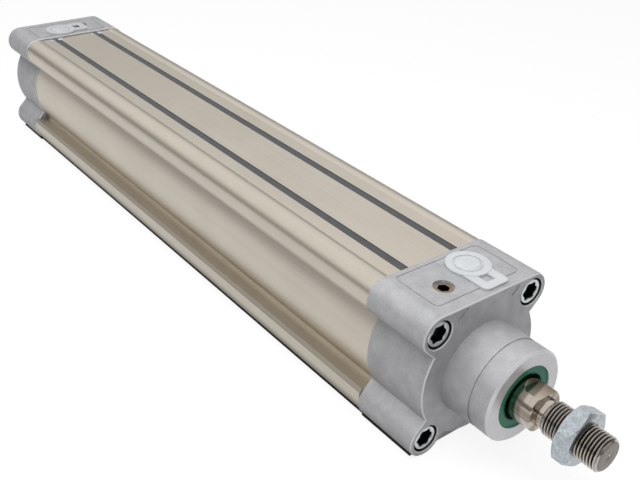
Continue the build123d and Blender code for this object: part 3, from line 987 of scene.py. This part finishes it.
@dataclass
class RodEnd:
    """The piston rod, with its ground bar, wrench flats, relief and cut thread."""

    thread: Thread = field(default_factory=Thread)
    bar_crease: float = 24.0
    cut_back: float = 1e-5

    def build(self, node: Object, materials: Materials) -> list[Object]:
        """Makes the bar from the CAD rod and adds the thread.

        Args:
            node: the CAD rod.
            materials: the built materials by name.

        Returns:
            The pieces, which ride on the rod.
        """
        mesh = bmesh.new()
        mesh.from_mesh(node.data)
        bmesh.ops.remove_doubles(mesh, verts=mesh.verts, dist=MERGE)
        limit = self.thread.start - self.cut_back
        beyond = [face for face in mesh.faces if face.calc_center_median().x > limit]
        bmesh.ops.delete(mesh, geom=beyond, context="FACES")
        steel = materials[ROD_STEEL.name]
        bar = finished_object("piston_rod_bar", mesh, steel, self.bar_crease)
        turns = self.thread.build(materials[THREAD_STEEL.name])
        for piece in (bar, turns):
            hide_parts("piston_rod")
            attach(piece, "rod")
        return [bar, turns]


@dataclass
class CollarScrews:
    """Four round-headed screws at one end, each with a lobed socket over a female thread."""

    end: End
    pitch: float = 0.0565
    sink: float = 0.0008
    head_radius: float = 0.0061
    seat: float = 0.022
    shank_radius: float = 0.004
    length: float = 0.056
    socket_radius: float = 0.0042
    lobe: float = 0.0004
    socket_depth: float = 0.0042
    tap_radius: float = 0.0034
    tap_depth: float = 0.017
    tap_pitch: float = 0.00125
    tap_groove: float = 0.0004
    tap_tip: float = 0.001
    shade_past_tap: float = 0.0012
    edge: float = 0.00035
    around: int = 72

    def profile(self) -> list[tuple[float, float, float]]:
        """Draws half of a screw, from the shank's end round the head and down the socket.

        Returns:
            Points of (depth behind the mounting face, radius, lobe).
        """
        rim = self.sink + self.edge
        floor = self.sink + self.socket_depth
        points = [
            (self.length, 0.0, 0.0),
            (self.length, self.shank_radius - self.edge, 0.0),
            (self.length - self.edge, self.shank_radius, 0.0),
            (self.seat, self.shank_radius, 0.0),
            (self.seat, self.head_radius, 0.0),
            (rim, self.head_radius, 0.0),
            (self.sink, self.head_radius - self.edge, 0.0),
            (self.sink, self.socket_radius + self.edge, self.lobe),
            (rim, self.socket_radius, self.lobe),
            (floor, self.socket_radius, self.lobe),
            (floor, self.tap_radius, 0.0),
        ]
        depth = floor
        while depth + self.tap_pitch < self.tap_depth:
            points.append((depth + self.tap_pitch / 2, self.tap_radius + self.tap_groove, 0.0))
            points.append((depth + self.tap_pitch, self.tap_radius, 0.0))
            depth += self.tap_pitch
        points.append((self.tap_depth + self.tap_tip, 0.0, 0.0))
        return points

    def screw(self) -> BMesh:
        """Builds one screw about the X axis, its head sunk behind the mounting face.

        Returns:
            The bmesh.
        """
        mesh = bmesh.new()
        rings = [add_ring(mesh, self.end.face - self.end.outward * depth, radius, self.around, lobe)
                 for depth, radius, lobe in self.profile()]
        join_rings(mesh, rings, self.around)
        return mesh

    def tree(self) -> NodeTree:
        """Builds the tree that puts a screw at each corner of a square.

        Returns:
            The geometry tree.
        """
        kinds = {"Pitch": "NodeSocketFloat", "Material": "NodeSocketMaterial"}
        sheet, given = new_tree(f"{self.end.word}_screw_square", kinds)
        pitch = given.outputs["Pitch"]
        corners = sheet.add("GeometryNodeMeshGrid", pitch, pitch, 2, 2)
        upright = sheet.add("GeometryNodeTransform", corners.outputs[0])
        upright.inputs["Rotation"].default_value = (0.0, math.pi / 2, 0.0)
        placed = sheet.add("GeometryNodeInstanceOnPoints", upright.outputs[0])
        sheet.feed(placed.inputs["Instance"], given.outputs[0])
        return end_tree(sheet, given, placed)

    def shade_sockets(self, piece: Object, socket: Material) -> None:
        """Gives the walls and floors of the sockets a dark material that paints their shade.

        Args:
            piece: the four screws.
            socket: the dark material that paints the shade inside the sockets.
        """
        piece.data.materials.append(socket)
        half = self.pitch / 2
        limit = self.socket_radius + self.lobe + self.edge
        for face in piece.data.polygons:
            x, y, z = face.center
            depth = (self.end.face - x) * self.end.outward
            reach = math.hypot(abs(y) - half, abs(z) - half)
            sunk = self.sink + self.edge < depth < self.tap_depth + self.shade_past_tap
            if reach < limit and sunk:
                face.material_index = 1

    def build(self, materials: Materials) -> Object:
        """Makes the four screws.

        Args:
            materials: the built materials by name.

        Returns:
            The piece, which rides on the housing.
        """
        zinc = materials[ZINC.name]
        one = finished_object("one_screw", self.screw(), zinc)
        values = {"Pitch": self.pitch, "Material": zinc}
        piece = apply_nodes(one, self.tree(), values, f"{self.end.word}_collar_screws")
        self.shade_sockets(piece, materials[SOCKET_SHADE.name])
        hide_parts(f"{self.end.word}_cap_screws")
        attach(piece, "housing")
        return piece


@dataclass
class KeptNodes:
    """The CAD nodes that keep their shape. Those without a finish here are rubber seals."""

    finishes: dict[str, Finish] = field(default_factory=lambda: {
        "barrel_profile": ANODISED,
        "front_cap": CAST, "rear_cap": CAST,
        "slot_cover_left": COVER, "slot_cover_right": COVER,
        "rod_wiper_seal": WIPER, "rod_bearing_bush": BUSH_BRONZE,
        "rod_nut": NUT_ZINC,
        "front_cushion_screw": BRONZE_SCREW, "rear_cushion_screw": BRONZE_SCREW,
        "front_port_plug": PLUG, "rear_port_plug": PLUG,
        "piston_front_half": PISTON_ALLOY, "piston_rear_half": PISTON_ALLOY,
        "front_cushion_sleeve": PISTON_ALLOY, "rear_cushion_nose": PISTON_ALLOY,
        "piston_magnet": MAGNET, "piston_guide_band": BAND,
    })

    def dress(self, nodes: dict[str, Object], materials: Materials) -> None:
        """Gives each node its material.

        Args:
            nodes: the CAD nodes by name.
            materials: the built materials by name.
        """
        for name, node in nodes.items():
            finish = self.finishes.get(name, RUBBER)
            for place in node.material_slots:
                place.link = "OBJECT"
                place.material = materials[finish.name]
            LOG.info("node %s wears %s", name, finish.name)


@dataclass(frozen=True)
class Lamp:
    """A soft rectangular lamp that shows in no reflection."""

    name: str
    spot: Point
    aim: Point
    size: Span
    power: float

    def build(self) -> None:
        """Hangs the lamp at its spot and turns it to its aim."""
        data = bpy.data.lights.new(self.name, "AREA")
        data.shape = "RECTANGLE"
        data.size, data.size_y = self.size
        data.energy = self.power
        lamp = linked_object(self.name, data)
        lamp.visible_glossy = False
        lamp.location = self.spot
        toward = Vector(self.aim) - Vector(self.spot)
        lamp.rotation_euler = toward.to_track_quat("-Z", "Y").to_euler()


@dataclass
class Studio:
    """Camera, floor and soft light."""

    azimuth: float = 50.70
    elevation: float = 30.52
    roll: float = 2.89
    offset: Point = (0.07023, 0.05539, 0.39345)
    focal_pixels: float = 890.5
    picture_width: int = 640
    sensor_width: float = 36.0
    near_clip: float = 0.01

    floor_height: float = -0.0376
    floor_reach: float = 6.0
    floor_matt: float = 0.9
    floor_dim: float = 0.38
    floor_glow: float = 1.08
    floor_glow_share: float = 0.82
    floor_mirror: Span = (0.20, 0.85)
    footprint_ends: Span = (-0.46, 0.0)
    footprint_side: Change = (0.041, 0.012)
    footprint_softness: float = 0.02

    soft_light: float = 0.22
    front_dimming: float = -0.60
    front_edge: Change = (0.3, 0.8)
    reflected_levels: tuple[Span, ...] = (
        (0.0, 0.60), (1.0, 1.0), (0.08, 0.24), (0.24, 0.22), (0.42, 1.0))
    lamps: tuple[Lamp, ...] = (
        Lamp("top_softbox", (0.0, -0.25, 0.9), (0.0, -0.05, 0.0), (1.0, 0.8), 8.5),
        Lamp("left_softbox", (-0.3, -1.3, 0.5), (-0.2, 0.0, 0.0), (1.2, 0.5), 0.5),
        Lamp("front_fill", (1.2, -0.2, 0.7), (0.0, 0.0, 0.0), (0.6, 0.6), 0.4),
    )

    def camera(self) -> None:
        """Sets the camera at the photograph's angle."""
        azimuth, elevation, roll = map(math.radians, (self.azimuth, self.elevation, self.roll))
        look = Vector((-math.sin(azimuth) * math.cos(elevation),
                       math.cos(azimuth) * math.cos(elevation), -math.sin(elevation)))
        level = look.cross(Vector((0, 0, 1))).normalized()
        upright = level.cross(look)
        right = math.cos(roll) * level + math.sin(roll) * upright
        up = math.cos(roll) * upright - math.sin(roll) * level
        spot = -(Matrix((right, -up, look)).transposed() @ Vector(self.offset))
        data = bpy.data.cameras.new("camera")
        data.sensor_width = self.sensor_width
        data.lens = self.focal_pixels * self.sensor_width / self.picture_width
        data.clip_start = self.near_clip
        camera = linked_object("camera", data)
        turned = Matrix((right, up, -look)).transposed().to_4x4()
        camera.matrix_world = Matrix.Translation(spot) @ turned
        bpy.context.scene.camera = camera

    def floor_material(self) -> Material:
        """Makes the floor's finish.

        Returns:
            A material that is near white to the camera, keeps a faint shadow, is dim to diffuse
            rays, mirrors dark near the cylinder as a painted contact shadow and is clear from
            below.
        """
        material = bpy.data.materials.new("floor")
        sheet = Sheet(blank_tree(material))
        path = sheet.add("ShaderNodeLightPath").outputs
        matt = sheet.add("ShaderNodeBsdfDiffuse", grey(self.floor_matt))
        dim = sheet.add("ShaderNodeBsdfDiffuse", grey(self.floor_dim))
        glow = sheet.add("ShaderNodeEmission", WHITE, self.floor_glow)
        x, y, _ = sheet.split(sheet.object_place())
        # Painted shadow: to glossy rays the floor glows dimmer over the cylinder's footprint, as
        # its contact shadow
        beside = sheet.step(sheet.math("ABSOLUTE", y), *self.footprint_side)
        beyond = sheet.invert(sheet.band(x, *self.footprint_ends, self.footprint_softness))
        open_floor = sheet.math("MAXIMUM", beside, beyond)
        level = sheet.spread(open_floor, *self.floor_mirror)
        mirror = sheet.add("ShaderNodeEmission", WHITE, level)
        seen = sheet.math("MULTIPLY", path["Is Camera Ray"], self.floor_glow_share)
        look = sheet.mix(seen, matt, glow)
        look = sheet.mix(path["Is Diffuse Ray"], look, dim)
        look = sheet.mix(path["Is Glossy Ray"], look, mirror)
        below = sheet.add("ShaderNodeNewGeometry").outputs["Backfacing"]
        look = sheet.mix(below, look, sheet.add("ShaderNodeBsdfTransparent"))
        sheet.add("ShaderNodeOutputMaterial", look.outputs[0])
        return material

    def floor(self) -> None:
        """Lays the pale floor under the cylinder."""
        mesh = bmesh.new()
        bmesh.ops.create_grid(mesh, x_segments=1, y_segments=1, size=self.floor_reach)
        for vert in mesh.verts:
            vert.co.z = self.floor_height
        data = bpy.data.meshes.new("floor")
        mesh.to_mesh(data)
        mesh.free()
        data.materials.append(self.floor_material())
        obj = linked_object("floor", data)

    def world(self) -> None:
        """Sets a soft surround that is white to the camera and banded in reflections."""
        world = bpy.data.worlds.new("surround")
        bpy.context.scene.world = world
        sheet = Sheet(blank_tree(world))
        path = sheet.add("ShaderNodeLightPath").outputs
        along, _, height = sheet.split(sheet.add("ShaderNodeTexCoord").outputs["Generated"])
        ramp = sheet.add("ShaderNodeValToRGB", height)
        stops = ramp.color_ramp.elements
        # The ramp starts with a stop at each end, so the first two levels are theirs
        for number, (position, level) in enumerate(self.reflected_levels):
            stop = stops[number] if number < 2 else stops.new(position)
            stop.color = grey(level)
        nearer = sheet.step(along, *self.front_edge)
        front = sheet.math("MULTIPLY_ADD", nearer, self.front_dimming, 1.0)
        strength = sheet.math("MULTIPLY", ramp.outputs[0], front)
        soft = sheet.add("ShaderNodeBackground", WHITE, self.soft_light)
        banded = sheet.add("ShaderNodeBackground", WHITE, strength)
        white = sheet.add("ShaderNodeBackground", WHITE, 1.0)
        lit = sheet.mix(path["Is Glossy Ray"], soft, banded)
        seen = sheet.math("MAXIMUM", path["Is Camera Ray"], path["Is Transmission Ray"])
        sheet.add("ShaderNodeOutputWorld", sheet.mix(seen, lit, white).outputs[0])

    def build(self) -> None:
        """Sets up the whole studio."""
        bpy.context.scene.view_settings.view_transform = "Standard"
        self.camera()
        self.floor()
        self.world()
        for lamp in self.lamps:
            lamp.build()


def main() -> None:
    """Builds the studio, dresses the CAD nodes and adds the remodelled pieces."""
    logging.basicConfig(level=logging.INFO, format="%(name)s: %(message)s")
    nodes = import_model()["nodes"]
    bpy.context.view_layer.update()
    Studio().build()
    materials = {finish.name: finish.build() for finish in FINISHES}
    KeptNodes().dress(nodes, materials)
    pieces = RodEnd().build(nodes["piston_rod"], materials)
    for end in End:
        pieces.append(CollarScrews(end).build(materials))
    for piece in pieces:
        LOG.info("piece %s has %d faces", piece.name, len(piece.data.polygons))


if __name__ == "__main__":
    main()
